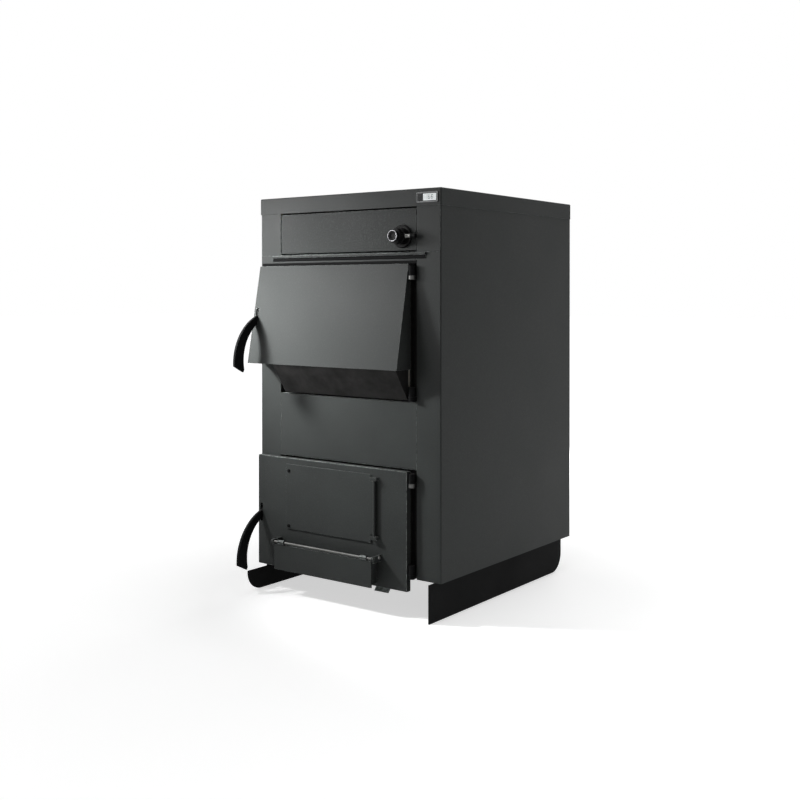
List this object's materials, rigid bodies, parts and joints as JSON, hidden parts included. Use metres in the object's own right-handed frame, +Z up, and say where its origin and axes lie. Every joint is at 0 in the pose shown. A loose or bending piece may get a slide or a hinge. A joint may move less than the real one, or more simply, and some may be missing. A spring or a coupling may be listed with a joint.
{
  "type": "boiler fireplace",
  "caption": "Free-standing solid-fuel hot-water boiler with a sloping loading door, an ash door with an air flap and raking hatch, and a flue collar behind.",
  "frame": {"origin": "on the floor, under the centre of the whole object's bounding box", "axes": "+X to the right seen from the front, +Y to the rear (flue side), +Z up"},
  "size_m": [0.6, 0.893, 1.057],
  "materials": {
    "casing_paint": "dark grey powder coat, satin, fine grain",
    "panel_paint": "dark grey powder coat with a coarser hammered grain",
    "black_paint": "black textured paint, matte",
    "body_steel": "primed welded plate, matte dark grey",
    "bare_steel": "turned steel, satin",
    "zinc_steel": "zinc-plated, bright",
    "chrome": "polished plate",
    "grate_iron": "rough cast iron",
    "fire_block": "pressed vermiculite board, matte",
    "rope": "braided glass-fibre rope",
    "wool": "mineral wool",
    "black_plastic": "moulded, matte",
    "grey_plastic": "moulded, satin",
    "screen_glass": "pale display window"
  },
  "bodies": {
    "boiler": {"top_cover": "casing_paint", "side_panel_left": "casing_paint", "side_panel_right": "casing_paint", "front_fascia": "casing_paint", "control_panel": "panel_paint", "ledge_strip": "casing_paint", "front_header_panel": "casing_paint", "front_middle_panel": "casing_paint", "rear_panel": "casing_paint", "rear_panel_screws": "zinc_steel", "casing_insulation": "wool", "casing_support_rails": "zinc_steel", "display_housing": "grey_plastic", "display_screen": "screen_glass", "regulator_stem": "black_plastic", "body_front_plate": "body_steel", "body_floor": "body_steel", "water_jacket": "body_steel", "firebox_shell": "body_steel", "heat_exchanger_pockets": "body_steel", "loading_frame": "body_steel", "ash_frame": "body_steel", "body_hinges": "black_paint", "latch_keepers": "zinc_steel", "grate": "grate_iron", "ash_pan": "bare_steel", "flue_collar": "body_steel", "flow_return_sockets": "bare_steel", "drain_socket": "bare_steel", "leg_left": "black_paint", "leg_right": "black_paint", "leg_bolts": "zinc_steel"},
    "loading_door": {"loading_door_cover": "casing_paint", "loading_door_box": "body_steel", "loading_door_wool": "wool", "loading_door_inner_plate": "body_steel", "loading_door_block": "fire_block", "loading_door_gasket": "rope", "loading_door_hinge_eyes": "black_paint"},
    "loading_handle": {"loading_handle_lever": "black_paint", "loading_latch": "zinc_steel"},
    "ash_door": {"ash_door_pan": "casing_paint", "ash_door_liner": "wool", "ash_door_inner_plate": "body_steel", "ash_door_block": "fire_block", "ash_door_gasket": "rope", "ash_door_hinge_eyes": "black_paint", "air_duct": "casing_paint"},
    "ash_handle": {"ash_handle_lever": "black_paint", "ash_latch": "zinc_steel"},
    "raking_hatch_body": {"raking_hatch": "casing_paint", "raking_hatch_screws": "black_paint"},
    "air_flap_body": {"air_flap": "casing_paint", "air_flap_rod": "zinc_steel"},
    "regulator_arm_body": {"regulator_arm": "bare_steel"},
    "regulator_knob": {"regulator_grip": "black_plastic", "regulator_nose": "chrome"},
    "flue_damper_body": {"flue_damper": "bare_steel", "flue_damper_lever": "black_paint"}
  },
  "joints": [
    {"name": "loading_door_hinge", "type": "hinge", "parent": "boiler", "child": "loading_door", "pos_m": [0.217, -0.3315, 0.695], "axis": [0, 0, 1], "range_deg": [0, 100]},
    {"name": "ash_door_hinge", "type": "hinge", "parent": "boiler", "child": "ash_door", "pos_m": [0.217, -0.3315, 0.225], "axis": [0, 0, 1], "range_deg": [0, 120]},
    {"name": "loading_handle_pivot", "type": "hinge", "parent": "loading_door", "child": "loading_handle", "pos_m": [-0.281, -0.3435, 0.743], "axis": [-1, 0, 0], "range_deg": [0, 25]},
    {"name": "ash_handle_pivot", "type": "hinge", "parent": "ash_door", "child": "ash_handle", "pos_m": [-0.281, -0.3315, 0.213], "axis": [-1, 0, 0], "range_deg": [0, 25]},
    {"name": "raking_hatch_hinge", "type": "hinge", "parent": "ash_door", "child": "raking_hatch_body", "pos_m": [0.112, -0.3473, 0.26], "axis": [0, 0, 1], "range_deg": [0, 110]},
    {"name": "air_flap_hinge", "type": "hinge", "parent": "ash_door", "child": "air_flap_body", "pos_m": [-0.041, -0.3718, 0.141], "axis": [-1, 0, 0], "range_deg": [0, 60]},
    {"name": "regulator_arm_turn", "type": "hinge", "parent": "boiler", "child": "regulator_arm_body", "pos_m": [0.182, -0.336, 0.941], "axis": [0, 1, 0], "range_deg": [-12, 12]},
    {"name": "regulator_knob_turn", "type": "hinge", "parent": "boiler", "child": "regulator_knob", "pos_m": [0.182, -0.35, 0.941], "axis": [0, 1, 0], "range_deg": [0, 270]},
    {"name": "flue_damper_turn", "type": "hinge", "parent": "boiler", "child": "flue_damper_body", "pos_m": [0, 0.3665, 0.81], "axis": [1, 0, 0], "range_deg": [0, 90]}
  ]
}
